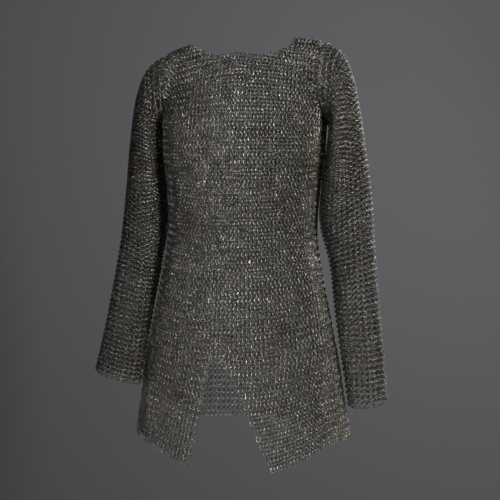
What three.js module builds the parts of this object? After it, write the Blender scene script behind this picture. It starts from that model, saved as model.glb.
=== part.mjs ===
// Chainmail hauberk: a long-sleeved mail shirt to the upper thigh, with a wide neck opening
// and a vent that parts the front of the skirt into two flaps. It keeps the hollow form and
// the pose of a shirt that is worn.
//
// Millimetres. X is to the right as seen from the front, Y to the back and Z up. The origin is
// in the middle of the neck opening, level with the top of the shoulders, where the shirt
// hangs from the wearer. A drop is a depth below that level. A side is -1 for the wearer's
// right and 1 for the wearer's left, and a face is -1 for the front and 1 for the back.

import * as THREE from 'three';

// Driving dimensions
const WALL = 4; // the leaning rings of 1.6 mm wire make the mail about this thick
const SEAM_GAP = 0.3; // between two panels
const ARMPIT_DROP = 170;
const VENT_DROP = 634; // the top of the front vent
const HEM_DROP = 820; // at the side seams
const SHOULDER_HALF = 166; // from the middle of the neck out to the top of the armhole
const SHOULDER_SHIFT = 6; // the shoulders lean this far to the wearer's left
const SHOULDER_TILT = 11; // the wearer's left shoulder is up, and the right one down, by this
const ARMHOLE_HALF_DEPTH = 62;
const ARMHOLE_BOW = 12; // how far the front and back edges of the armhole curve inwards
const ARMHOLE_POINT = 0.65; // how pointed it is at the armpit, from 0 to 1
const ARMHOLE_LEAN = { top: 0.4, bottom: 0.6 }; // how much the mail faces sideways at its edge
const VENT_SHIFT = -28; // the vent's top lies this far from the middle, along the cloth
const NECK = { half: 105, front: 60, back: 52, power: 2.5 };
const CURVE_POWER = 1.5; // the armhole's bow and the hem's fall both start softly, at this power

// Level sections of the body. middle and half are along X, front and back along Y, and power
// is the roundness of the corners, where 2 is an ellipse.
const BODY = [
  { at: 170, middle: 6, half: 168, front: 112, back: 104, power: 2.3 },
  { at: 235, middle: 5, half: 164, front: 124, back: 108, power: 2.3 },
  { at: 320, middle: 3, half: 156, front: 116, back: 104, power: 2.3 },
  { at: 400, middle: 1, half: 154, front: 108, back: 100, power: 2.3 },
  { at: 480, middle: 0, half: 166, front: 114, back: 108, power: 2.3 },
  { at: 570, middle: 0, half: 184, front: 124, back: 122, power: 2.2 },
  { at: 660, middle: 0, half: 202, front: 134, back: 136, power: 2.1 },
  { at: 730, middle: 0, half: 213, front: 141, back: 144, power: 2.0 },
  { at: 820, middle: 0, half: 228, front: 148, back: 150, power: 1.9 },
];

// The line along the top of the shoulders, by distance from the middle of the neck
const RIDGE = [
  { at: 0, height: 10 },
  { at: 60, height: 6 },
  { at: 105, height: 0 },
  { at: 140, height: -6 },
  { at: 172, height: -17 },
];

// How a column of the weave leaves the shoulder ridge and comes down onto the armpit section,
// by its share of the way from the middle to the side. out is away from the middle, fore is
// away from the ridge and up is up, for the pull at the ridge, and then for the pull at the
// armpit section.
const COLUMN_PULLS = {
  front: [
    { at: 0, out: 0, fore: 72, up: 0, lowOut: 0, lowFore: -16, lowUp: 88 },
    { at: 0.45, out: -2, fore: 58, up: -2, lowOut: -5, lowFore: -17, lowUp: 80 },
    { at: 0.75, out: -8, fore: 66, up: -4, lowOut: -18, lowFore: 4, lowUp: 60 },
    { at: 1, out: -4, fore: 80, up: -6, lowOut: -18, lowFore: 84, lowUp: 4 },
  ],
  back: [
    { at: 0, out: 0, fore: 66, up: 0, lowOut: 0, lowFore: -10, lowUp: 88 },
    { at: 0.45, out: -2, fore: 60, up: -2, lowOut: -5, lowFore: -12, lowUp: 80 },
    { at: 0.75, out: -8, fore: 66, up: -4, lowOut: -18, lowFore: 4, lowUp: 60 },
    { at: 1, out: -4, fore: 80, up: -6, lowOut: -18, lowFore: 84, lowUp: 4 },
  ],
};

// The two edges of the vent, measured along the cloth from the middle of the front
const VENT = [
  { at: 634, right: -28, left: -28 },
  { at: 642, right: -37, left: -18 },
  { at: 664, right: -42, left: 3 },
  { at: 710, right: -52, left: 31 },
  { at: 765, right: -66, left: 57 },
  { at: 820, right: -83, left: 92 },
];

// How far the hem of each flap falls below the side seams, by the share of the way from the
// vent's edge to the side
const FLAP_FALL = [
  { at: 0, right: 40, left: 44 },
  { at: 0.3, right: 23, left: 24 },
  { at: 0.65, right: 6, left: -4 },
  { at: 1, right: 0, left: 0 },
];

// Sections of each sleeve from the armhole to the cuff, by the share of the sleeve's length.
// outer and inner are the two ends of the section, seen from the front, middle is its place
// along Y and depth is half its size along Y.
const SLEEVE = {
  left: [
    { at: 0, outerX: 172, outerZ: -6, innerX: 174, innerZ: -170, middle: 0, depth: 62, power: 2 },
    { at: 0.04, outerX: 202, outerZ: -22, innerX: 187, innerZ: -171, middle: 0, depth: 65, power: 2 },
    { at: 0.08, outerX: 219, outerZ: -50, innerX: 188, innerZ: -190, middle: 0, depth: 66, power: 2 },
    { at: 0.15, outerX: 234, outerZ: -99, innerX: 182, innerZ: -232, middle: 0, depth: 66, power: 2.1 },
    { at: 0.3, outerX: 252, outerZ: -205, innerX: 173, innerZ: -300, middle: 0, depth: 62, power: 2.2 },
    { at: 0.45, outerX: 268, outerZ: -318, innerX: 170, innerZ: -372, middle: 0, depth: 57, power: 2.3 },
    { at: 0.6, outerX: 276, outerZ: -430, innerX: 191, innerZ: -458, middle: 0, depth: 52, power: 2.3 },
    { at: 0.75, outerX: 286, outerZ: -545, innerX: 202, innerZ: -555, middle: 0, depth: 49, power: 2.3 },
    { at: 0.88, outerX: 297, outerZ: -645, innerX: 216, innerZ: -651, middle: 0, depth: 46, power: 2.3 },
    { at: 1, outerX: 304, outerZ: -738, innerX: 231, innerZ: -748, middle: 0, depth: 43, power: 2.3 },
  ],
  right: [
    { at: 0, outerX: -160, outerZ: -28, innerX: -162, innerZ: -170, middle: 0, depth: 62, power: 2 },
    { at: 0.04, outerX: -188, outerZ: -45, innerX: -175, innerZ: -171, middle: 0, depth: 65, power: 2 },
    { at: 0.08, outerX: -206, outerZ: -72, innerX: -176, innerZ: -190, middle: 0, depth: 66, power: 2 },
    { at: 0.15, outerX: -220, outerZ: -116, innerX: -172, innerZ: -232, middle: 0, depth: 66, power: 2.1 },
    { at: 0.3, outerX: -234, outerZ: -205, innerX: -168, innerZ: -300, middle: 0, depth: 62, power: 2.2 },
    { at: 0.45, outerX: -245, outerZ: -310, innerX: -167, innerZ: -372, middle: 0, depth: 57, power: 2.3 },
    { at: 0.6, outerX: -257, outerZ: -415, innerX: -177, innerZ: -450, middle: -6, depth: 52, power: 2.3 },
    { at: 0.75, outerX: -273, outerZ: -520, innerX: -190, innerZ: -540, middle: -22, depth: 46, power: 2.3 },
    { at: 0.88, outerX: -286, outerZ: -610, innerX: -199, innerZ: -630, middle: -46, depth: 38, power: 2.3 },
    { at: 1, outerX: -297, outerZ: -680, innerX: -204, innerZ: -706, middle: -68, depth: 33, power: 2.3 },
  ],
};

// The largest folds of the front, each a soft ridge (or trough, below 0) between two places
const FOLDS = [
  { x1: 166, z1: -165, x2: 112, z2: -255, height: 5, width: 11 },
  { x1: 150, z1: -135, x2: 84, z2: -205, height: -4, width: 12 },
  { x1: -140, z1: -210, x2: -136, z2: -430, height: -5, width: 12 },
  { x1: -170, z1: -700, x2: -188, z2: -812, height: 6, width: 13 },
  { x1: 182, z1: -700, x2: 204, z2: -812, height: -7, width: 13 },
];

// How finely the walls are divided
const SECTION_STEPS = 96;
const EDGE_HALVINGS = 20; // of a step, to find the neck's edge
const NECK_COLUMNS = 9; // from the middle to the corner of the neck
const NECK_CROWDING = 1.6; // they stand closer together towards the corner, at this power
const SHOULDER_COLUMNS = 4; // from there to the armhole
const YOKE_ROWS = 10; // from the shoulder ridge to the armpit
const WAIST_ROWS = 15; // from the armpit to the vent
const SKIRT_ROWS = 7; // from the vent to the hem
const SLEEVE_STEPS = 24; // along a sleeve
const SLEEVE_SIDES = 20; // around it

// A table's row at any place between its rows, all its columns eased from one row to the next
function rowAt(table, place) {
  const at = THREE.MathUtils.clamp(place, table[0].at, table[table.length - 1].at);
  let k = 0;
  while (k < table.length - 2 && at > table[k + 1].at) k += 1;
  const span = table[k + 1].at - table[k].at;
  const s = (at - table[k].at) / span;
  const slope = (name, i) => {
    const before = table[Math.max(i - 1, 0)];
    const after = table[Math.min(i + 1, table.length - 1)];
    return (after[name] - before[name]) / (after.at - before.at);
  };
  const row = {};
  for (const name of Object.keys(table[0])) {
    const from = table[k][name];
    const to = table[k + 1][name];
    row[name] =
      from * (2 * s ** 3 - 3 * s ** 2 + 1) +
      to * (3 * s ** 2 - 2 * s ** 3) +
      slope(name, k) * span * (s ** 3 - 2 * s ** 2 + s) +
      slope(name, k + 1) * span * (s ** 3 - s ** 2);
  }
  return row;
}

function lengthsAlong(points) {
  const lengths = [0];
  for (let i = 1; i < points.length; i += 1) {
    lengths.push(lengths[i - 1] + points[i].distanceTo(points[i - 1]));
  }
  return lengths;
}

// The point of a line at a distance from its start
function pointAlong(points, distance) {
  const lengths = lengthsAlong(points);
  let k = 1;
  while (k < points.length - 1 && lengths[k] < distance) k += 1;
  const s = (distance - lengths[k - 1]) / (lengths[k] - lengths[k - 1]);
  return points[k - 1].clone().lerp(points[k], THREE.MathUtils.clamp(s, 0, 1));
}

function lineLength(points) {
  return lengthsAlong(points)[points.length - 1];
}

// A quarter of the body's section, from the middle of a face out to the side seam
function quarterSection(drop, side, face) {
  const { middle, half, front, back, power } = rowAt(BODY, drop);
  const depth = face < 0 ? front : back;
  const points = [];
  for (let i = 0; i <= SECTION_STEPS; i += 1) {
    const turn = ((Math.PI / 2) * i) / SECTION_STEPS;
    points.push(
      new THREE.Vector3(
        middle + side * half * Math.sin(turn) ** (2 / power),
        face * depth * Math.max(Math.cos(turn), 0) ** (2 / power),
        -drop,
      ),
    );
  }
  return points;
}

// Shoulders and armholes
function ridgePoint(side, distance) {
  const tilt = side * SHOULDER_TILT * (distance / SHOULDER_HALF) ** 2;
  return new THREE.Vector3(
    SHOULDER_SHIFT + side * distance,
    0,
    rowAt(RIDGE, distance).height + tilt,
  );
}

function armpitPoint(side) {
  const { middle, half } = rowAt(BODY, ARMPIT_DROP);
  return new THREE.Vector3(middle + side * half, 0, -ARMPIT_DROP);
}

// The armhole's edge, from the top of the shoulder (share 0) down one face to the armpit (1).
// It is round at the top and comes to a point at the armpit, as mail is cut along its rows.
function armholePoint(side, face, share) {
  const turn = Math.PI * share;
  const round = (1 - Math.cos(turn)) / 2;
  const pointed = 1 - Math.cos(turn / 2);
  const down = THREE.MathUtils.lerp(round, pointed, ARMHOLE_POINT);
  const point = ridgePoint(side, SHOULDER_HALF).lerp(armpitPoint(side), down);
  point.x -= side * ARMHOLE_BOW * Math.sin(turn) ** CURVE_POWER;
  point.y += face * ARMHOLE_HALF_DEPTH * Math.sin(turn);
  return point;
}

// Which way the mail faces along the armhole's edge: away from the armhole's middle all round,
// and to the side, more so at the armpit
function armholeNormal(side, face, share) {
  const turn = Math.PI * share;
  const sideways = THREE.MathUtils.lerp(ARMHOLE_LEAN.top, ARMHOLE_LEAN.bottom, (1 - Math.cos(turn)) / 2);
  return new THREE.Vector3(side * sideways, face * Math.sin(turn), Math.cos(turn)).normalize();
}

function yokeCurve(side, face, share, top, bottom) {
  const pull = rowAt(face < 0 ? COLUMN_PULLS.front : COLUMN_PULLS.back, share);
  const leave = new THREE.Vector3(side * pull.out, face * pull.fore, pull.up);
  const arrive = new THREE.Vector3(side * pull.lowOut, face * pull.lowFore, pull.lowUp);
  return new THREE.CubicBezierCurve3(top, leave.add(top), arrive.add(bottom), bottom);
}

// A column of the weave from the shoulder ridge down to the armpit section, and the outermost
// column is the armhole's edge itself
function yokeColumn(side, face, share) {
  const quarter = quarterSection(ARMPIT_DROP, side, face);
  const bottom = pointAlong(quarter, share * lineLength(quarter));
  const top = ridgePoint(side, SHOULDER_HALF * share);
  const curve = yokeCurve(side, face, share, top, bottom);
  const outermost = yokeCurve(side, face, 1, ridgePoint(side, SHOULDER_HALF), armpitPoint(side));
  const points = [];
  for (let i = 0; i <= SECTION_STEPS; i += 1) {
    const s = i / SECTION_STEPS;
    const miss = armholePoint(side, face, s).sub(outermost.getPoint(s));
    points.push(curve.getPoint(s).addScaledVector(miss, share ** 3));
  }
  return points;
}

function insideNeck(point, face) {
  const depth = face < 0 ? NECK.front : NECK.back;
  const across = Math.abs((point.x - SHOULDER_SHIFT) / NECK.half) ** NECK.power;
  return across + Math.abs(point.y / depth) ** NECK.power < 1;
}

// The part of a column that is mail: from the neck's edge, or else the ridge, to the armpit
function yokeColumnBelowNeck(side, face, share) {
  const column = yokeColumn(side, face, share);
  let start = 0;
  while (insideNeck(column[start], face)) start += 1;
  if (start === 0) return column;
  let inside = column[start - 1].clone();
  let outside = column[start].clone();
  for (let i = 0; i < EDGE_HALVINGS; i += 1) {
    const halfway = inside.clone().lerp(outside, 0.5);
    if (insideNeck(halfway, face)) inside = halfway;
    else outside = halfway;
  }
  return [outside, ...column.slice(start)];
}

// A point of the body below the armpit. share is -1 at the side seam of the wearer's right,
// 0 in the middle and 1 at the other side seam. On the front the vent parts the skirt at
// ventShare, so a flap is named there.
function quarterLength(drop, face) {
  return lineLength(quarterSection(drop, 1, face));
}

const ventShare = VENT_SHIFT / quarterLength(VENT_DROP, -1);

function bodyPoint(face, share, drop, flap) {
  const quarter = quarterLength(drop, face);
  let along = share * quarter;
  let fall = 0;
  if (face < 0 && drop > VENT_DROP) {
    const seamShare = flap === 'left' ? 1 : -1;
    const toSide = (share - ventShare) / (seamShare - ventShare);
    const edge = rowAt(VENT, drop)[flap];
    along = edge + (seamShare * quarter - edge) * toSide;
    const reach = ((drop - VENT_DROP) / (HEM_DROP - VENT_DROP)) ** CURVE_POWER;
    fall = rowAt(FLAP_FALL, toSide)[flap] * reach;
  }
  const side = along < 0 ? -1 : 1;
  const point = pointAlong(quarterSection(drop, side, face), Math.abs(along));
  point.z -= fall;
  return point;
}

// How far the folds lift a point of the front
function foldLift(point) {
  let lift = 0;
  for (const { x1, z1, x2, z2, height, width } of FOLDS) {
    const start = new THREE.Vector2(x1, z1);
    const line = new THREE.Vector2(x2, z2).sub(start);
    const from = new THREE.Vector2(point.x, point.z).sub(start);
    const along = from.dot(line) / line.lengthSq();
    const aside = Math.abs(from.cross(line)) / line.length();
    const fade = Math.max(0, 1 - (2 * along - 1) ** 2);
    lift += along > 0 && along < 1 ? height * fade * Math.exp(-((aside / width) ** 2)) : 0;
  }
  return lift;
}

// A sheet is a mesh of points without thickness, each with the direction that it faces
class Sheet {
  constructor() {
    this.places = new Map();
    this.points = [];
    this.normals = [];
    this.fixedNormals = new Map();
    this.triangles = [];
  }

  place(name, point) {
    if (!this.places.has(name)) {
      this.places.set(name, this.points.length);
      this.points.push(point);
    }
    return this.places.get(name);
  }

  // Four corners as two triangles, parted along the shorter diagonal
  quad(a, b, c, d) {
    const [pa, pb, pc, pd] = [a, b, c, d].map((i) => this.points[i]);
    if (pa.distanceTo(pc) <= pb.distanceTo(pd)) this.triangles.push([a, b, c], [a, c, d]);
    else this.triangles.push([a, b, d], [b, c, d]);
  }

  faceOutwards() {
    this.normals = this.points.map(() => new THREE.Vector3());
    const edge = new THREE.Vector3();
    for (const [a, b, c] of this.triangles) {
      const [pa, pb, pc] = [this.points[a], this.points[b], this.points[c]];
      edge.subVectors(pb, pa).cross(new THREE.Vector3().subVectors(pc, pa));
      for (const i of [a, b, c]) this.normals[i].add(edge);
    }
    for (const [i, fix] of this.fixedNormals) fix(this.normals[i]);
    for (const normal of this.normals) normal.normalize();
  }
}

// A panel of the body. Its edges stop half a seam's gap short of the next panel's.
function bodySheet(face) {
  const sheet = new Sheet();
  const neckShare = NECK.half / SHOULDER_HALF;
  const gridShares = [];
  for (let i = 0; i <= NECK_COLUMNS; i += 1) {
    gridShares.push(neckShare * (1 - (1 - i / NECK_COLUMNS) ** NECK_CROWDING));
  }
  for (let i = 1; i <= SHOULDER_COLUMNS; i += 1) {
    gridShares.push(neckShare + ((1 - neckShare) * i) / SHOULDER_COLUMNS);
  }
  const hasVent = face < 0;
  // The columns nearest to the vent are moved to it
  const shares = [...gridShares.slice(1).reverse().map((share) => -share), ...gridShares];
  if (hasVent) {
    const nearest = shares.reduce((best, s) => (Math.abs(s - ventShare) < Math.abs(best - ventShare) ? s : best));
    shares[shares.indexOf(nearest)] = ventShare;
  }
  const drops = [];
  for (let i = 0; i <= WAIST_ROWS; i += 1) {
    drops.push(ARMPIT_DROP + ((VENT_DROP - ARMPIT_DROP) * i) / WAIST_ROWS);
  }
  for (let i = 1; i <= SKIRT_ROWS; i += 1) {
    drops.push(VENT_DROP + ((HEM_DROP - VENT_DROP) * i) / SKIRT_ROWS);
  }
  const seamInset = (SEAM_GAP / 2) * face;

  const columns = shares.map((share) => {
    const side = share < 0 ? -1 : 1;
    const rows = Array.from({ length: YOKE_ROWS + 1 }, (_, row) => row / YOKE_ROWS);
    if (Math.abs(share) === 1) return rows.map((down) => armholePoint(side, face, down));
    const column = yokeColumnBelowNeck(side, face, Math.abs(share));
    const length = lineLength(column);
    return rows.map((down) => pointAlong(column, length * down));
  });

  const pointAt = (column, row, flap) => {
    if (row <= YOKE_ROWS) return columns[column][row].clone();
    return bodyPoint(face, shares[column], drops[row - YOKE_ROWS], flap);
  };
  const rowCount = YOKE_ROWS + WAIST_ROWS + SKIRT_ROWS;
  const vertex = (column, row, flap) => {
    const parted = hasVent && row > YOKE_ROWS + WAIST_ROWS && shares[column] === ventShare;
    const name = `${column} ${row} ${parted ? flap : ''}`;
    if (sheet.places.has(name)) return sheet.places.get(name);
    const index = sheet.place(name, pointAt(column, row, flap));
    const atSide = column === 0 || column === shares.length - 1;
    const side = shares[column] < 0 ? -1 : 1;
    if (atSide && row <= YOKE_ROWS) {
      const normal = armholeNormal(side, face, row / YOKE_ROWS);
      sheet.fixedNormals.set(index, (n) => n.copy(normal));
    } else if (atSide || (row === 0 && Math.abs(sheet.points[index].y) < 1)) {
      sheet.fixedNormals.set(index, (n) => n.setY(0));
    }
    return index;
  };

  for (let column = 0; column < shares.length - 1; column += 1) {
    const flap = shares[column] < ventShare ? 'right' : 'left';
    for (let row = 0; row < rowCount; row += 1) {
      const corners = [
        vertex(column, row, flap),
        vertex(column, row + 1, flap),
        vertex(column + 1, row + 1, flap),
        vertex(column + 1, row, flap),
      ];
      if (face < 0) sheet.quad(...corners);
      else sheet.quad(...corners.reverse());
    }
  }
  sheet.faceOutwards();
  if (face < 0) {
    sheet.points.forEach((point, i) => {
      if (!sheet.fixedNormals.has(i)) point.addScaledVector(sheet.normals[i], foldLift(point));
    });
    sheet.faceOutwards();
  }

  // The seam gaps: back from the ridge, the side seams and the armholes
  for (const [i] of sheet.fixedNormals) {
    const point = sheet.points[i];
    point.y += Math.abs(point.y) < 1 ? seamInset : 0;
  }
  for (const side of [-1, 1]) {
    const column = side < 0 ? 0 : shares.length - 1;
    for (let row = 0; row <= YOKE_ROWS; row += 1) {
      const i = sheet.places.get(`${column} ${row} `);
      sheet.points[i].addScaledVector(acrossArmhole(side, face, row / YOKE_ROWS), -SEAM_GAP / 2);
    }
  }
  return sheet;
}

// Across the armhole's seam, from the body to the sleeve
function acrossArmhole(side, face, share) {
  const step = 0.01;
  const from = armholePoint(side, face, Math.max(share - step, 0));
  const to = armholePoint(side, face, Math.min(share + step, 1));
  const across = armholeNormal(side, face, share).cross(to.sub(from)).normalize();
  return across.multiplyScalar(across.x * side < 0 ? -1 : 1);
}

// A sleeve. turn runs round it from the outer line over the front, the inner line and the back.
function sleevePoint(name, share, turn) {
  const { outerX, outerZ, innerX, innerZ, middle, depth, power } = rowAt(SLEEVE[name], share);
  const rounded = (value) => Math.sign(value) * Math.abs(value) ** (2 / power);
  const across = rounded(Math.cos(turn));
  return new THREE.Vector3(
    (outerX + innerX) / 2 + (across * (outerX - innerX)) / 2,
    middle - rounded(Math.sin(turn)) * depth,
    (outerZ + innerZ) / 2 + (across * (outerZ - innerZ)) / 2,
  );
}

function sleeveSheet(name) {
  const side = name === 'left' ? 1 : -1;
  const sheet = new Sheet();
  const halfSides = SLEEVE_SIDES / 2;
  const vertex = (step, around) => {
    const sideways = around % SLEEVE_SIDES;
    const label = `${step} ${sideways}`;
    if (sheet.places.has(label)) return sheet.places.get(label);
    if (step > 0) {
      return sheet.place(label, sleevePoint(name, step / SLEEVE_STEPS, (Math.PI * sideways) / halfSides));
    }
    const face = sideways <= halfSides ? -1 : 1;
    const share = face < 0 ? sideways / halfSides : 2 - sideways / halfSides;
    const point = armholePoint(side, face, share);
    const index = sheet.place(label, point.addScaledVector(acrossArmhole(side, face, share), SEAM_GAP / 2));
    const normal = armholeNormal(side, face, share);
    sheet.fixedNormals.set(index, (n) => n.copy(normal));
    return index;
  };
  for (let step = 0; step < SLEEVE_STEPS; step += 1) {
    for (let around = 0; around < SLEEVE_SIDES; around += 1) {
      const corners = [
        vertex(step, around),
        vertex(step, around + 1),
        vertex(step + 1, around + 1),
        vertex(step + 1, around),
      ];
      if (side > 0) sheet.quad(...corners);
      else sheet.quad(...corners.reverse());
    }
  }
  sheet.faceOutwards();
  return sheet;
}

// A closed wall: the sheet moved out and in by half the thickness, and strips round its edges
function wallGeometry(sheet) {
  const count = sheet.points.length;
  const positions = new Float32Array(count * 6);
  sheet.points.forEach((point, i) => {
    const outer = point.clone().addScaledVector(sheet.normals[i], WALL / 2);
    const inner = point.clone().addScaledVector(sheet.normals[i], -WALL / 2);
    outer.toArray(positions, i * 3);
    inner.toArray(positions, (count + i) * 3);
  });
  const index = [];
  const edges = new Set();
  for (const [a, b, c] of sheet.triangles) {
    index.push(a, b, c, count + a, count + c, count + b);
    for (const [from, to] of [[a, b], [b, c], [c, a]]) edges.add(`${from} ${to}`);
  }
  for (const edge of edges) {
    const [from, to] = edge.split(' ').map(Number);
    if (edges.has(`${to} ${from}`)) continue;
    index.push(to, from, count + from, to, count + from, count + to);
  }
  const geometry = new THREE.BufferGeometry();
  geometry.setAttribute('position', new THREE.BufferAttribute(positions, 3));
  geometry.setIndex(index);
  geometry.computeVertexNormals();
  return geometry;
}

const blackenedSteel = () => new THREE.MeshStandardMaterial({ color: 0x3a3936, roughness: 0.45, metalness: 0.9 });

function panel(name, sheet) {
  const mesh = new THREE.Mesh(wallGeometry(sheet), blackenedSteel());
  mesh.name = name;
  return mesh;
}

const hauberk = new THREE.Group();
hauberk.name = 'hauberk';
hauberk.add(
  panel('front', bodySheet(-1)),
  panel('back', bodySheet(1)),
  panel('sleeve_left', sleeveSheet('left')),
  panel('sleeve_right', sleeveSheet('right')),
);

export default hauberk;
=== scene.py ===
# %% [markdown]
# # A chainmail hauberk
#
# A mail shirt is thousands of steel rings, each linked through four others, and nothing else.
# This lesson models one ring, works out where each ring of the worn shirt lies, and joins the
# copies into six pieces of mail that ride on the imported model. It starts by loading that model as a
# fixed frame.

# %% Load the frame
import math

import bpy
import numpy as np
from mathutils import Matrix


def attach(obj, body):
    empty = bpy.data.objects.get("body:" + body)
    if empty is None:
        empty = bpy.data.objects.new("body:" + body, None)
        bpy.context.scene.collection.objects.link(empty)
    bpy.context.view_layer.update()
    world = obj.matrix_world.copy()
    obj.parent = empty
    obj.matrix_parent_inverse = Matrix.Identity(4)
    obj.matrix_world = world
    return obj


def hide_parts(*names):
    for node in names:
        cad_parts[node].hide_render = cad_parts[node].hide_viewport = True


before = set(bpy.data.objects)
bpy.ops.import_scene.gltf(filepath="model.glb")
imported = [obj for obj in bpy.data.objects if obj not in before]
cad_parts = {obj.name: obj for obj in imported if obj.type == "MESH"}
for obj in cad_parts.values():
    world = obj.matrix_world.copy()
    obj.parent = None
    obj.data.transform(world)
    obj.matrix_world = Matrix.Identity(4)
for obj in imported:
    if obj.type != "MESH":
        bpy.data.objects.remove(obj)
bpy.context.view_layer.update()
MM = 0.001
print("CAD nodes:", ", ".join(sorted(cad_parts)))

# %% [markdown]
# ## The camera
#
# The camera comes first, so that every later step can be looked at. It stands 2.3 m away, a
# little to the shirt's left and a little above, and a long lens keeps the distortion small.
# The place and the lens are worked out from the width that the frame takes in.

# %% Camera
CAMERA_AZIMUTH = math.radians(12)
CAMERA_ELEVATION = math.radians(5)
CAMERA_DISTANCE = 2.3
CAMERA_TARGET = np.array([0.01738, 0.0, -0.430])
FRAME_WIDTH = 1.05
SENSOR_WIDTH = 36.0

bpy.ops.object.select_all(action="DESELECT")
towards_camera = np.array(
    [
        math.sin(CAMERA_AZIMUTH) * math.cos(CAMERA_ELEVATION),
        -math.cos(CAMERA_AZIMUTH) * math.cos(CAMERA_ELEVATION),
        math.sin(CAMERA_ELEVATION),
    ]
)
bpy.ops.object.camera_add(
    location=CAMERA_TARGET + CAMERA_DISTANCE * towards_camera,
    rotation=(math.pi / 2 - CAMERA_ELEVATION, 0, CAMERA_AZIMUTH),
)
camera = bpy.context.object
camera.name = "camera"
camera.data.sensor_width = SENSOR_WIDTH
camera.data.lens = SENSOR_WIDTH * CAMERA_DISTANCE / FRAME_WIDTH
camera.data.clip_end = 50
bpy.context.scene.camera = camera
print(f"lens: {camera.data.lens:.1f} mm")

# %% [markdown]
# ## The shape of the worn shirt
#
# The tables are those that the CAD walls are made from, in millimetres. X runs to the wearer's
# left, Y to the back and Z up, and a drop is a depth below the top of the shoulders. A table's
# columns are eased from row to row with Hermite curves, so the shirt has no creases that
# aren't meant. A side is -1 for the wearer's right and 1 for the left, and a face is -1 for
# the front and 1 for the back.

# %% Tables and how they are read
ARMPIT_DROP = 170.0
VENT_DROP = 634.0
HEM_DROP = 820.0
SHOULDER_HALF = 166.0
SHOULDER_SHIFT = 6.0
SHOULDER_TILT = 11.0
ARMHOLE_HALF_DEPTH = 62.0
ARMHOLE_BOW = 12.0
ARMHOLE_POINT = 0.65
VENT_SHIFT = -28.0
CURVE_POWER = 1.5
NECK = {"half": 105.0, "front": 60.0, "back": 52.0, "power": 2.5}

# drop, middle, half width, front depth, back depth, roundness
BODY = np.array(
    [
        (170, 6, 168, 112, 104, 2.3),
        (235, 5, 164, 124, 108, 2.3),
        (320, 3, 156, 116, 104, 2.3),
        (400, 1, 154, 108, 100, 2.3),
        (480, 0, 166, 114, 108, 2.3),
        (570, 0, 184, 124, 122, 2.2),
        (660, 0, 202, 134, 136, 2.1),
        (730, 0, 213, 141, 144, 2.0),
        (820, 0, 228, 148, 150, 1.9),
    ]
)
# distance from the middle of the neck, height of the shoulder line
RIDGE = np.array([(0, 10), (60, 6), (105, 0), (140, -6), (172, -17)])
# share of the way to the side; out, fore and up of the pull at the shoulder line and at the armpit
COLUMN_PULLS = {
    -1: np.array(
        [
            (0, 0, 72, 0, 0, -16, 88),
            (0.45, -2, 58, -2, -5, -17, 80),
            (0.75, -8, 66, -4, -18, 4, 60),
            (1, -4, 80, -6, -18, 84, 4),
        ]
    ),
    1: np.array(
        [
            (0, 0, 66, 0, 0, -10, 88),
            (0.45, -2, 60, -2, -5, -12, 80),
            (0.75, -8, 66, -4, -18, 4, 60),
            (1, -4, 80, -6, -18, 84, 4),
        ]
    ),
}
# drop, distance along the cloth from the middle to the vent's right and left edge
VENT = np.array(
    [
        (634, -28, -28),
        (642, -37, -18),
        (664, -42, 3),
        (710, -52, 31),
        (765, -66, 57),
        (820, -83, 92),
    ]
)
# share of the way from the vent to the side; how far the right and left flap fall there
FLAP_FALL = np.array([(0, 40, 44), (0.3, 23, 24), (0.65, 6, -4), (1, 0, 0)])
# share of the arm; outer x and z, inner x and z, middle along y, depth, roundness
SLEEVES = {
    1: np.array(
        [
            (0, 172, -6, 174, -170, 0, 62, 2),
            (0.04, 202, -22, 187, -171, 0, 65, 2),
            (0.08, 219, -50, 188, -190, 0, 66, 2),
            (0.15, 234, -99, 182, -232, 0, 66, 2.1),
            (0.3, 252, -205, 173, -300, 0, 62, 2.2),
            (0.45, 268, -318, 170, -372, 0, 57, 2.3),
            (0.6, 276, -430, 191, -458, 0, 52, 2.3),
            (0.75, 286, -545, 202, -555, 0, 49, 2.3),
            (0.88, 297, -645, 216, -651, 0, 46, 2.3),
            (1, 304, -738, 231, -748, 0, 43, 2.3),
        ]
    ),
    -1: np.array(
        [
            (0, -160, -28, -162, -170, 0, 62, 2),
            (0.04, -188, -45, -175, -171, 0, 65, 2),
            (0.08, -206, -72, -176, -190, 0, 66, 2),
            (0.15, -220, -116, -172, -232, 0, 66, 2.1),
            (0.3, -234, -205, -168, -300, 0, 62, 2.2),
            (0.45, -245, -310, -167, -372, 0, 57, 2.3),
            (0.6, -257, -415, -177, -450, -6, 52, 2.3),
            (0.75, -273, -520, -190, -540, -22, 46, 2.3),
            (0.88, -286, -610, -199, -630, -46, 38, 2.3),
            (1, -297, -680, -204, -706, -68, 33, 2.3),
        ]
    ),
}
# The folds of the front: x and z of both ends, height, width
FOLDS = np.array(
    [
        (166, -165, 112, -255, 5, 11),
        (150, -135, 84, -205, -4, 12),
        (-140, -210, -136, -430, -5, 12),
        (-170, -700, -188, -812, 6, 13),
        (182, -700, 204, -812, -7, 13),
    ]
)


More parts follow.
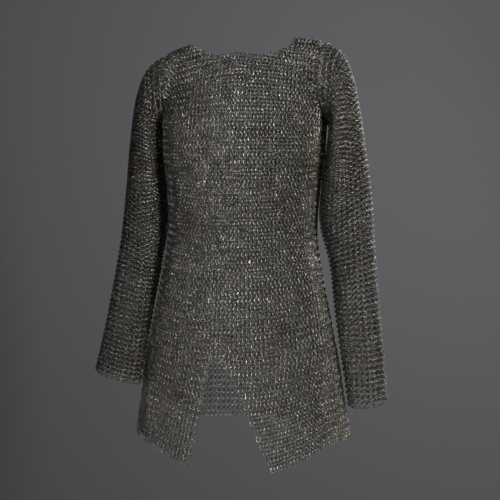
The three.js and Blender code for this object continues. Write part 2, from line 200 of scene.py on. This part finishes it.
def eased(table, places):
    """The table's columns at any places between its rows, eased from row to row."""
    at = table[:, 0]
    values = table[:, 1:]
    slopes = np.empty_like(values, dtype=float)
    slopes[1:-1] = (values[2:] - values[:-2]) / (at[2:] - at[:-2])[:, None]
    slopes[0] = (values[1] - values[0]) / (at[1] - at[0])
    slopes[-1] = (values[-1] - values[-2]) / (at[-1] - at[-2])
    places = np.clip(np.asarray(places, float), at[0], at[-1])
    k = np.clip(np.searchsorted(at, places, side="right") - 1, 0, len(at) - 2)
    span = (at[k + 1] - at[k])[..., None]
    s = (places - at[k])[..., None] / span
    return (
        values[k] * (2 * s**3 - 3 * s**2 + 1)
        + values[k + 1] * (3 * s**2 - 2 * s**3)
        + slopes[k] * span * (s**3 - 2 * s**2 + s)
        + slopes[k + 1] * span * (s**3 - s**2)
    )


def lengths_along(points):
    """How far each point of a line is from the line's start."""
    steps = np.linalg.norm(np.diff(points, axis=0), axis=1)
    return np.concatenate([[0.0], np.cumsum(steps)])


def points_along(points, distances):
    """The places on a line at these distances from its start."""
    lengths = lengths_along(points)
    return np.stack([np.interp(distances, lengths, points[:, k]) for k in range(3)], axis=-1)


def unit(vectors):
    return vectors / np.maximum(np.linalg.norm(vectors, axis=-1, keepdims=True), 1e-9)


# %% [markdown]
# ## The body's cloth
#
# Mail hangs in columns, and each column is a line down the body: over the shoulder as a
# Bezier curve, then down through level sections that are rounded boxes. The armhole's edge is
# the outermost column. The same formulas make the CAD walls, so the rings lie in the middle of
# those walls.

# %% Columns of the body
CURVE_STEPS = 96


def section_points(drop, side, face):
    """A quarter of the level section, from the middle of a face out to the side seam."""
    middle, half, front, back, power = eased(BODY, drop)
    turn = np.linspace(0, math.pi / 2, CURVE_STEPS + 1)
    depth = front if face < 0 else back
    x = middle + side * half * np.sin(turn) ** (2 / power)
    y = face * depth * np.maximum(np.cos(turn), 0) ** (2 / power)
    return np.stack([x, y, np.full_like(x, -drop)], axis=-1)


def section_length(drop, face):
    return lengths_along(section_points(drop, 1, face))[-1]


def ridge_point(side, distance):
    tilt = side * SHOULDER_TILT * (distance / SHOULDER_HALF) ** 2
    return np.array([SHOULDER_SHIFT + side * distance, 0, eased(RIDGE, distance)[0] + tilt])


def armpit_point(side):
    middle, half = eased(BODY, ARMPIT_DROP)[:2]
    return np.array([middle + side * half, 0, -ARMPIT_DROP])


def armhole_points(side, face, shares):
    """The armhole's edge, from the top of the shoulder (0) down one face to the armpit (1)."""
    turn = math.pi * np.asarray(shares, float)
    round_down = (1 - np.cos(turn)) / 2
    pointed_down = 1 - np.cos(turn / 2)
    down = (round_down + (pointed_down - round_down) * ARMHOLE_POINT)[..., None]
    points = ridge_point(side, SHOULDER_HALF) * (1 - down) + armpit_point(side) * down
    points[..., 0] -= side * ARMHOLE_BOW * np.maximum(np.sin(turn), 0) ** CURVE_POWER
    points[..., 1] += face * ARMHOLE_HALF_DEPTH * np.sin(turn)
    return points


def yoke_curve(side, face, share, top, bottom):
    out, fore, up, low_out, low_fore, low_up = eased(COLUMN_PULLS[face], share)
    leave = top + np.array([side * out, face * fore, up])
    arrive = bottom + np.array([side * low_out, face * low_fore, low_up])
    s = np.linspace(0, 1, CURVE_STEPS + 1)[:, None]
    return (
        (1 - s) ** 3 * top
        + 3 * s * (1 - s) ** 2 * leave
        + 3 * s**2 * (1 - s) * arrive
        + s**3 * bottom
    )


def yoke_column(side, face, share):
    """A column from the shoulder line down to the armpit's level."""
    quarter = section_points(ARMPIT_DROP, side, face)
    bottom = points_along(quarter, share * lengths_along(quarter)[-1])
    top = ridge_point(side, SHOULDER_HALF * share)
    curve = yoke_curve(side, face, share, top, bottom)
    outermost = yoke_curve(side, face, 1, ridge_point(side, SHOULDER_HALF), armpit_point(side))
    edge = armhole_points(side, face, np.linspace(0, 1, CURVE_STEPS + 1))
    return curve + (edge - outermost) * share**3


VENT_SHARE = VENT_SHIFT / section_length(VENT_DROP, -1)


def body_point(face, share, drop, flap):
    """A point below the armpit. flap is -1 or 1 for the front's two halves, 0 for the back."""
    quarter = section_length(drop, face)
    along = share * quarter
    fall = 0.0
    if flap and drop > VENT_DROP:
        to_side = (share - VENT_SHARE) / (flap - VENT_SHARE)
        edge = eased(VENT, drop)[0 if flap < 0 else 1]
        along = edge + (flap * quarter - edge) * to_side
        reach = ((drop - VENT_DROP) / (HEM_DROP - VENT_DROP)) ** CURVE_POWER
        fall = eased(FLAP_FALL, to_side)[0 if flap < 0 else 1] * reach
    side = -1 if along < 0 else 1
    point = points_along(section_points(drop, side, face), abs(along))
    return point - np.array([0, 0, fall])


print(f"half the chest: {section_length(ARMPIT_DROP, -1):.0f} mm of cloth")

# %% [markdown]
# ## The lattice of rings
#
# In this weave each ring passes through four neighbours, two in the row above and two below.
# Next rows are half a pitch apart and lean opposite ways, and that lean draws the zigzag lines
# that mail is known by. A row's rings are a pitch apart along the row. Above the armpit the
# columns keep that pitch and stop at the armhole, as on a panel that is cut. Below it all the
# columns reach the hem, closer together at the waist and wider at the hips. In the front, the
# rows between the armpit and the hem are as many at the vent as at the sides, so they slope
# down towards the vent. The upper rows also hang down a little towards the armholes.

# %% Lattice of the body
HALF_COLUMNS = 28  # from the middle to a side seam
YOKE_ROWS = 28  # from the shoulder line to the armpit
BODY_ROWS = 90  # from the armpit to the hem
VENT_ROW_AT_SIDE = 64.0  # the row that lies at the vent's top, seen at the side seam
VENT_ROW_AT_VENT = 60.0  # and at the vent
DROOP = 12.0  # how far the rows hang down towards the armhole, in millimetres
DROOP_ROWS = 44  # the rows that do so
DROOP_PEAK = 27 / 4  # brings the highest value of x (1 - x)^2 to one
EDGE_MARGIN = 4.5  # a ring's centre keeps this far inside an edge, in millimetres
NECK_MARGIN = 4.0  # and this far from the neck opening
VENT_COLUMN = -3.0  # the column in which the vent opens
VENT_ROW = YOKE_ROWS + round(VENT_ROW_AT_VENT)
SHARE_STEPS = 40
DROP_STEPS = 16


def column_shares(flap):
    if flap < 0:
        return np.linspace(-1, VENT_SHARE, SHARE_STEPS + 1)
    if flap > 0:
        return np.linspace(VENT_SHARE, 1, SHARE_STEPS + 1)
    return np.linspace(-1, 1, 2 * SHARE_STEPS + 1)


def column_rows(face, share, flap):
    """One column's points, one for each half row from the shoulder line to the hem."""
    side = -1 if share < 0 else 1
    yoke = yoke_column(side, face, abs(share))
    upper_drops = np.linspace(ARMPIT_DROP, VENT_DROP, 2 * DROP_STEPS)
    lower_drops = np.linspace(VENT_DROP, HEM_DROP, DROP_STEPS)
    upper = np.array([body_point(face, share, drop, flap) for drop in upper_drops])
    lower = np.array([body_point(face, share, drop, flap) for drop in lower_drops])
    vent_row = VENT_ROW_AT_SIDE
    if flap:
        to_side = (share - VENT_SHARE) / (flap - VENT_SHARE)
        ease = to_side * to_side * (3 - 2 * to_side)
        vent_row = VENT_ROW_AT_VENT + (VENT_ROW_AT_SIDE - VENT_ROW_AT_VENT) * ease
    whole = np.concatenate([yoke, upper[1:], lower[1:]])
    lengths = lengths_along(whole)
    ends = [0, CURVE_STEPS, CURVE_STEPS + len(upper) - 1, len(whole) - 1]
    rows = np.arange(2 * (YOKE_ROWS + BODY_ROWS) + 1) / 2
    spots = np.interp(
        rows,
        [0, YOKE_ROWS, YOKE_ROWS + vent_row, YOKE_ROWS + BODY_ROWS],
        lengths[ends] - np.array([0, 0, 0, EDGE_MARGIN]),
    )
    reach = np.minimum(rows / DROOP_ROWS, 1)
    spots += DROOP * share**2 * DROOP_PEAK * reach * (1 - reach) ** 2
    return points_along(whole, spots)


def fold_lift(points):
    """How far the folds lift these points of the front."""
    lift = np.zeros(points.shape[:-1])
    for x1, z1, x2, z2, height, width in FOLDS:
        line = np.array([x2 - x1, z2 - z1])
        start = points[..., [0, 2]] - np.array([x1, z1])
        along = start @ line / (line @ line)
        aside = (start[..., 0] * line[1] - start[..., 1] * line[0]) / np.linalg.norm(line)
        fade = np.where((along > 0) & (along < 1), 1 - (2 * along - 1) ** 2, 0)
        lift += height * fade * np.exp(-((aside / width) ** 2))
    return lift


def body_patch(face, flap):
    """Points of the cloth for every half row and column sample, and which way it faces."""
    shares = column_shares(flap)
    grid = np.stack([column_rows(face, share, flap) for share in shares], axis=1)
    across = unit(np.gradient(grid, axis=1))
    down = unit(np.gradient(grid, axis=0))
    outward = unit(np.cross(across, down) * face)
    if face < 0:
        grid = grid + outward * fold_lift(grid)[..., None]
    return {"shares": shares, "grid": grid, "across": across, "outward": outward}


def inside_neck(points, face):
    depth = (NECK["front"] if face < 0 else NECK["back"]) + NECK_MARGIN
    across = np.abs((points[:, 0] - SHOULDER_SHIFT) / (NECK["half"] + NECK_MARGIN))
    fore = np.abs(points[:, 1] / depth)
    return (across ** NECK["power"] + fore ** NECK["power"] < 1) & (points[:, 2] > -ARMPIT_DROP / 2)


def rings_on_line(patch, half_row, shares):
    """Centres, row directions and outward directions at some shares of one line of a patch."""
    found = [
        np.stack([np.interp(shares, patch["shares"], patch[name][half_row][:, k]) for k in range(3)], -1)
        for name in ("grid", "across", "outward")
    ]
    return found[0], unit(found[1]), unit(found[2])


def yoke_row(face, patch, row, columns):
    """The rings of a row above the armpit: a pitch apart from the middle, cut at the armholes."""
    pitch = section_length(ARMPIT_DROP, face) / HALF_COLUMNS
    lengths = lengths_along(patch["grid"][2 * row])
    places = columns * pitch + np.interp(0.0, patch["shares"], lengths)
    kept = (places > EDGE_MARGIN) & (places < lengths[-1] - EDGE_MARGIN)
    shares = np.interp(places[kept], lengths, patch["shares"])
    centres, along, outward = rings_on_line(patch, 2 * row, shares)
    open_neck = inside_neck(centres, face)
    return centres[~open_neck], along[~open_neck], outward[~open_neck]


def lower_row(patches, row, columns):
    """The rings of a row below the armpit. In the front each flap has its own columns."""
    parts = []
    for flap, patch in patches.items():
        if flap == 0:
            shares = columns[np.abs(columns) < HALF_COLUMNS] / HALF_COLUMNS
        else:
            past_vent = (columns - VENT_COLUMN) * flap
            own = columns[(past_vent > 0) | ((past_vent == 0) & (flap > 0) & (row < VENT_ROW))]
            to_side = (own - VENT_COLUMN) / (flap * HALF_COLUMNS - VENT_COLUMN)
            shares = VENT_SHARE + to_side * (flap - VENT_SHARE)
        parts.append(rings_on_line(patch, 2 * row, shares))
    return [np.concatenate(part) for part in zip(*parts)]


def body_rings(face):
    """Every ring of one panel: its centre, row direction, outward direction, lean and row."""
    whole = body_patch(face, 0)
    lower = {-1: body_patch(face, -1), 1: body_patch(face, 1)} if face < 0 else {0: whole}
    found = []
    for row in range(0 if face < 0 else 1, YOKE_ROWS + BODY_ROWS + 1):
        columns = np.arange(-HALF_COLUMNS, HALF_COLUMNS + 1) + (0.5 if row % 2 == 0 else 0.0)
        columns = columns[np.abs(columns) <= HALF_COLUMNS]
        if row < YOKE_ROWS:
            centres, along, outward = yoke_row(face, whole, row, columns)
        else:
            centres, along, outward = lower_row(lower, row, columns)
        lean = (1.0 if row % 2 == 0 else -1.0) * -face
        count = len(centres)
        found.append((centres, along, outward, np.full(count, lean), np.full(count, row)))
    return [np.concatenate(part) for part in zip(*found)]


front_rings = body_rings(-1)
back_rings = body_rings(1)
print("rings in the front and the back:", len(front_rings[0]), len(back_rings[0]))

# %% [markdown]
# ## The sleeves
#
# A sleeve is a tube of the same weave turned by a quarter, so its rows run along the arm. The
# rows are counted from the outer line both ways round, and where the arm gets thinner, rows
# end at the underarm, as a maker takes them out there. The first stations take the form of
# the armhole. The rows lie closer together than real wire would let them, to match the dense
# look of worn sleeves, so neighbouring wires cut into each other here.

# %% Lattice of the sleeves
SLEEVE_STATIONS = 68  # rings along a row, from the armhole to the cuff
SLEEVE_ROW_SPACING = 6.1  # between rows, around the arm
UNDERARM_MARGIN = SLEEVE_ROW_SPACING / 3  # what the last row keeps from the underarm's line
ARMHOLE_BLEND = 1 / 24  # the share of the sleeve that takes the armhole's form
TURN_STEPS = 60


def sleeve_loop(side, share, turns):
    """Points round the sleeve. A turn of 0 is the outer line, and then comes the front."""
    outer_x, outer_z, inner_x, inner_z, middle, depth, power = eased(SLEEVES[side], share)

    def rounded(values):
        return np.sign(values) * np.abs(values) ** (2 / power)

    across = rounded(np.cos(turns))
    return np.stack(
        [
            (outer_x + inner_x) / 2 + across * (outer_x - inner_x) / 2,
            middle - rounded(np.sin(turns)) * depth,
            (outer_z + inner_z) / 2 + across * (outer_z - inner_z) / 2,
        ],
        axis=-1,
    )


def sleeve_rings(side):
    """Every ring of one sleeve, in the same five arrays as the body's."""
    stations = np.arange(2 * SLEEVE_STATIONS + 1) / (2 * SLEEVE_STATIONS)
    found = []
    for face in (-1, 1):
        shares = np.linspace(0, 1, TURN_STEPS + 1)
        turns = -face * math.pi * shares
        armhole = armhole_points(side, face, shares) - sleeve_loop(side, 0.0, turns)
        loops = []
        for station in stations:
            blend = max(0.0, 1 - station / ARMHOLE_BLEND)
            loops.append(sleeve_loop(side, station, turns) + blend * armhole)
        grid = np.array(loops)
        along = unit(np.gradient(grid, axis=0))
        around = unit(np.gradient(grid, axis=1))
        outward = unit(np.cross(along, around) * face * side)
        for i in range(1, len(stations)):
            lengths = lengths_along(grid[i])
            rows = np.arange(0 if face < 0 else 1, int(lengths[-1] / SLEEVE_ROW_SPACING) + 1)
            rows = rows[rows % 2 == i % 2]
            rows = rows[rows * SLEEVE_ROW_SPACING < lengths[-1] - UNDERARM_MARGIN]
            places = rows * SLEEVE_ROW_SPACING
            centre, row_along, row_outward = [
                np.stack([np.interp(places, lengths, values[i][:, k]) for k in range(3)], -1)
                for values in (grid, along, outward)
            ]
            lean = np.where(rows % 2 == 0, 1.0, -1.0)
            found.append((centre, unit(row_along), unit(row_outward), lean, rows))
    return [np.concatenate(part) for part in zip(*found)]


sleeve_left_rings = sleeve_rings(1)
sleeve_right_rings = sleeve_rings(-1)
print("rings in the sleeves:", len(sleeve_left_rings[0]), len(sleeve_right_rings[0]))

# %% [markdown]
# ## One ring
#
# A maker winds steel wire round a rod, cuts the coil into rings and butts the two ends
# together. Spin does the same here: it sweeps a small round of wire nearly all the way about
# the ring's middle. The ring is copied many thousand times, so it has only a few faces, and
# smooth shading rounds them.

# %% The ring that is copied
RING_RADIUS = 5.8  # to the middle of the wire: a 10 mm bore and 1.6 mm wire
WIRE_RADIUS = 1.12  # of a three-sided wire, 1.7 to 1.9 mm across where the round one is 1.6
WIRE_SIDES = 3
RING_STEPS = 8
BUTT_GAP = math.radians(3)

bpy.ops.object.select_all(action="DESELECT")
bpy.ops.mesh.primitive_circle_add(
    vertices=WIRE_SIDES,
    radius=WIRE_RADIUS * MM,
    fill_type="NGON",
    location=(RING_RADIUS * MM, 0, 0),
    rotation=(math.pi / 2, 0, 0),
)
ring = bpy.context.object
ring.name = "one_ring"
bpy.ops.object.transform_apply(location=True, rotation=True, scale=True)
bpy.ops.object.mode_set(mode="EDIT")
bpy.ops.mesh.select_all(action="SELECT")
bpy.ops.mesh.spin(
    steps=RING_STEPS, angle=2 * math.pi - BUTT_GAP, center=(0, 0, 0), axis=(0, 0, 1), dupli=False
)
bpy.ops.mesh.select_all(action="SELECT")
bpy.ops.mesh.remove_doubles(threshold=0.01 * MM)
bpy.ops.mesh.normals_make_consistent(inside=False)
bpy.ops.mesh.quads_convert_to_tris()
bpy.ops.object.mode_set(mode="OBJECT")
ring_points = np.array([vertex.co for vertex in ring.data.vertices])
ring_faces = np.array([list(face.vertices) for face in ring.data.polygons])
bpy.data.objects.remove(ring)
print("one ring:", len(ring_points), "points and", len(ring_faces), "triangles")

# %% [markdown]
# ## Blackened steel
#
# Mail like this is blackened by heat and kept oiled. The scale is nearly black, and the crowns
# of the rings, which rub on each other, are worn back to grey metal. Here and there old oil and
# rust tint it brown. Steel is a metal, so its colour sets how strongly it mirrors the studio.
# Each ring has a tone of its own, as no two rings blacken alike, and the sleeves' rings are painted
# darker as shade.

# %% Materials
def linear(hex_colour):
    """A colour such as 2f2d2a, as the linear numbers that a shader takes."""
    parts = [int(hex_colour[i : i + 2], 16) / 255 for i in (0, 2, 4)]
    parts = [p / 12.92 if p <= 0.04045 else ((p + 0.055) / 1.055) ** 2.4 for p in parts]
    return (*parts, 1.0)


def add_node(tree, kind, settings=None, links=None):
    """A node with its settings, by attribute or by input name, and the links into its inputs."""
    node = tree.nodes.new(kind)
    for name, value in (settings or {}).items():
        if hasattr(node, name):
            setattr(node, name, value)
        else:
            node.inputs[name].default_value = value
    for name, source in (links or {}).items():
        tree.links.new(source, node.inputs[name])
    return node


def colour_ramp(tree, source, stops):
    node = add_node(tree, "ShaderNodeValToRGB", links={"Fac": source})
    elements = node.color_ramp.elements
    while len(elements) < len(stops):
        elements.new(0.5)
    for element, (place, colour) in zip(elements, stops):
        element.position = place
        element.color = linear(colour)
    return node.outputs["Color"]


def blackened_steel():
    material = bpy.data.materials.new("blackened_oiled_steel")
    material.use_nodes = True
    tree = material.node_tree
    shader = tree.nodes["Principled BSDF"]
    shader.inputs["Metallic"].default_value = 0.9
    shader.inputs["Coat Weight"].default_value = 0.25
    shader.inputs["Coat Roughness"].default_value = 0.22
    tone = add_node(tree, "ShaderNodeAttribute", {"attribute_name": "tone"}).outputs["Fac"]
    place = add_node(tree, "ShaderNodeTexCoord").outputs["Object"]
    ring_colour = colour_ramp(
        tree, tone, [(0.0, "2c2b29"), (0.5, "484743"), (0.85, "63615d"), (1.0, "8c8a85")]
    )
    patches = add_node(
        tree,
        "ShaderNodeTexNoise",
        {"Scale": 14.0, "Detail": 3.0, "Roughness": 0.6},
        {"Vector": place},
    ).outputs["Fac"]
    brown = colour_ramp(tree, patches, [(0.5, "ffffff"), (0.7, "e3d5bd")])
    colour = add_node(
        tree,
        "ShaderNodeMix",
        {"data_type": "RGBA", "blend_type": "MULTIPLY"},
    )
    colour.inputs["Factor"].default_value = 1.0
    tree.links.new(ring_colour, colour.inputs[6])
    tree.links.new(brown, colour.inputs[7])
    tree.links.new(colour.outputs[2], shader.inputs["Base Color"])
    scale = add_node(
        tree,
        "ShaderNodeTexNoise",
        {"Scale": 900.0, "Detail": 2.0},
        {"Vector": place},
    ).outputs["Fac"]
    roughness = add_node(
        tree,
        "ShaderNodeMapRange",
        {"From Min": 0.3, "From Max": 0.7, "To Min": 0.28, "To Max": 0.46},
        {"Value": scale},
    )
    tree.links.new(roughness.outputs["Result"], shader.inputs["Roughness"])
    bump = add_node(tree, "ShaderNodeBump", {"Strength": 0.25, "Distance": 0.0002}, {"Height": scale})
    tree.links.new(bump.outputs["Normal"], shader.inputs["Normal"])
    return material


steel = blackened_steel()

# %% [markdown]
# ## The mail
#
# Every ring stands on its place in the lattice. It leans along its row by about 41 degrees,
# one way in even rows and the other way in odd ones. At that lean a ring's raised edge hides
# the low edge of the next one, so the bright edges join in zigzags. Small seeded differences in
# lean, turn and place keep the rings from looking stamped. All the copies of a piece are joined
# in one mesh. A piece stays below 200,000 triangles, so the front and the back are parted at
# the waist.

# %% Join the rings
RING_LEAN = math.radians(41)
LEAN_SPREAD = math.radians(2)
WOBBLE = math.radians(2)
PLACE_SPREAD = 0.12  # of a ring's centre, in millimetres
TONE_SHAPE = (2.2, 3.0)  # of the beta curve that the rings' tones are drawn from
SLEEVE_SHADE_TONE = 0.5  # the share of the body's ring tone that the sleeves keep: painted shade, the sleeves' colour darkened as if in shadow


def turned(vectors, axes, angles):
    """Each vector turned about its axis (Rodrigues' formula)."""
    cosine = np.cos(angles)[:, None]
    sine = np.sin(angles)[:, None]
    along = np.sum(vectors * axes, axis=1, keepdims=True)
    return vectors * cosine + np.cross(axes, vectors) * sine + axes * along * (1 - cosine)


def mail_piece(name, rings, seed, node, shade_tone=1.0):
    """One mesh of all these rings, in metres. A shade tone below 1 darkens the rings' colour, as painted
    shade.
    """
    centres, along, outward, lean = rings[:4]
    count = len(centres)
    random = np.random.default_rng(seed)
    lean_angles = lean * (RING_LEAN + random.normal(0, LEAN_SPREAD, count))
    along = unit(along - outward * np.sum(along * outward, axis=1, keepdims=True))
    up = np.cross(outward, along)
    axis = unit(outward * np.cos(lean_angles)[:, None] + along * np.sin(lean_angles)[:, None])
    axis = unit(turned(axis, along, random.normal(0, WOBBLE, count)))
    start = unit(np.cross(up, axis))
    start = turned(start, axis, random.uniform(0, 2 * math.pi, count))
    side = np.cross(axis, start)
    centres = centres + random.normal(0, PLACE_SPREAD, (count, 3))
    points = (
        centres[:, None, :] * MM
        + ring_points[None, :, 0, None] * start[:, None, :]
        + ring_points[None, :, 1, None] * side[:, None, :]
        + ring_points[None, :, 2, None] * axis[:, None, :]
    ).reshape(-1, 3)
    starts = np.arange(count) * len(ring_points)
    corners = (ring_faces[None, :, :] + starts[:, None, None]).reshape(-1)
    mesh = bpy.data.meshes.new(name)
    mesh.vertices.add(len(points))
    mesh.vertices.foreach_set("co", points.reshape(-1))
    mesh.loops.add(len(corners))
    mesh.loops.foreach_set("vertex_index", corners.astype(np.int32))
    mesh.polygons.add(len(corners) // 3)
    mesh.polygons.foreach_set("loop_start", np.arange(0, len(corners), 3, dtype=np.int32))
    mesh.update(calc_edges=True)
    mesh.shade_smooth()
    tone = mesh.attributes.new("tone", "FLOAT", "POINT")
    # below 1 the tones are scaled down, which paints shade into the rings' colour
    tone.data.foreach_set("value", np.repeat(shade_tone * random.beta(*TONE_SHAPE, count), len(ring_points)))
    mesh.materials.append(steel)
    piece = bpy.data.objects.new(name, mesh)
    bpy.context.collection.objects.link(piece)
    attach(piece, "root")
    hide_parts(node)
    print(name, count, "rings,", len(corners) // 3, "triangles")
    return piece


def chosen(rings, mask):
    return [values[mask] for values in rings]


WAIST_ROW = 60  # the first row of the lower pieces
upper_front = front_rings[4] < WAIST_ROW
upper_back = back_rings[4] < WAIST_ROW


pieces = [
    mail_piece("mail_front_upper", chosen(front_rings, upper_front), 1, "front"),
    mail_piece("mail_front_lower", chosen(front_rings, ~upper_front), 2, "front"),
    mail_piece("mail_back_upper", chosen(back_rings, upper_back), 3, "back"),
    mail_piece("mail_back_lower", chosen(back_rings, ~upper_back), 4, "back"),
    # the sleeves get a darker ring colour: painted shade on the arms
    mail_piece("mail_sleeve_left", sleeve_left_rings, 5, "sleeve_left", SLEEVE_SHADE_TONE),
    mail_piece("mail_sleeve_right", sleeve_right_rings, 6, "sleeve_right", SLEEVE_SHADE_TONE),
]
ring_count = sum(len(piece.data.vertices) for piece in pieces) // len(ring_points)
print("rings in all:", ring_count, "triangles in all:", ring_count * len(ring_faces))

# %% [markdown]
# ## The studio
#
# The shirt hangs as if worn, so the pale floor lies where the wearer's feet would stand. The
# backdrop is a plain dark grey: the shirt is hollow and a net besides, so whatever lies behind
# it shows through both its layers, and before white paper the dark steel would look pale.
# The lights are upright softboxes. A strong one stands in front to the shirt's left and draws
# the bright edges of the rings, a weak one opposite it fills, and a small one hangs over the
# shoulders. Another stands behind, so that the back isn't left in the dark.

# %% Floor and lights
FLOOR_HEIGHT = -1.45
FLOOR_SIZE = 2.0
BACKDROP_DISTANCE = 3.0
BACKDROP_SIZE = 14.0
PAPER_ROUGHNESS = 0.9
LIGHTS_AIM = np.array([0, 0, -0.4])  # about the middle of the shirt
WORLD_STRENGTH = 0.03


def paper(name, colour):
    material = bpy.data.materials.new(name)
    material.use_nodes = True
    shader = material.node_tree.nodes["Principled BSDF"]
    shader.inputs["Roughness"].default_value = PAPER_ROUGHNESS
    shader.inputs["Base Color"].default_value = linear(colour)
    return material


def paper_sheet(name, size, place, rotation, colour):
    bpy.ops.object.select_all(action="DESELECT")
    bpy.ops.mesh.primitive_plane_add(size=size, location=place, rotation=rotation)
    sheet = bpy.context.object
    sheet.name = name
    bpy.ops.object.transform_apply(location=True, rotation=True, scale=True)
    sheet.data.materials.append(paper(name + "_paper", colour))


paper_sheet("floor", FLOOR_SIZE, (0, 0, FLOOR_HEIGHT), (0, 0, 0), "e4e5e7")
backdrop_place = (0, BACKDROP_DISTANCE, 1.0)
paper_sheet("backdrop", BACKDROP_SIZE, backdrop_place, (math.pi / 2, 0, 0), "4c4e51")


def soft_light(name, azimuth, height, distance, size, power, colour):
    """An upright softbox that faces the shirt. Its azimuth is from the front to the shirt's left."""
    turn = math.radians(azimuth)
    place = np.array([distance * math.sin(turn), -distance * math.cos(turn), height])
    bpy.ops.object.light_add(type="AREA", location=place)
    light = bpy.context.object
    light.name = name
    light.data.shape = "RECTANGLE"
    light.data.size, light.data.size_y = size
    light.data.energy = power
    light.data.color = linear(colour)[:3]
    towards = LIGHTS_AIM - place
    light.rotation_euler = (
        math.atan2(math.hypot(towards[0], towards[1]), -towards[2]),
        0,
        math.atan2(towards[1], towards[0]) - math.pi / 2,
    )
    return light


soft_light("key", 44, 0.2, 2.6, (0.45, 1.3), 278, "fffaf2")
soft_light("fill", -38, 0.0, 2.8, (0.8, 1.6), 42, "f2f6ff")
soft_light("top", 15, 2.0, 0.6, (0.9, 0.6), 20, "ffffff")
soft_light("behind", 140, 0.3, 2.6, (0.8, 1.6), 60, "ffffff")

world = bpy.data.worlds.new("studio")
world.use_nodes = True
world.node_tree.nodes["Background"].inputs["Color"].default_value = linear("ffffff")
world.node_tree.nodes["Background"].inputs["Strength"].default_value = WORLD_STRENGTH
bpy.context.scene.world = world
bpy.context.scene.view_settings.view_transform = "Standard"
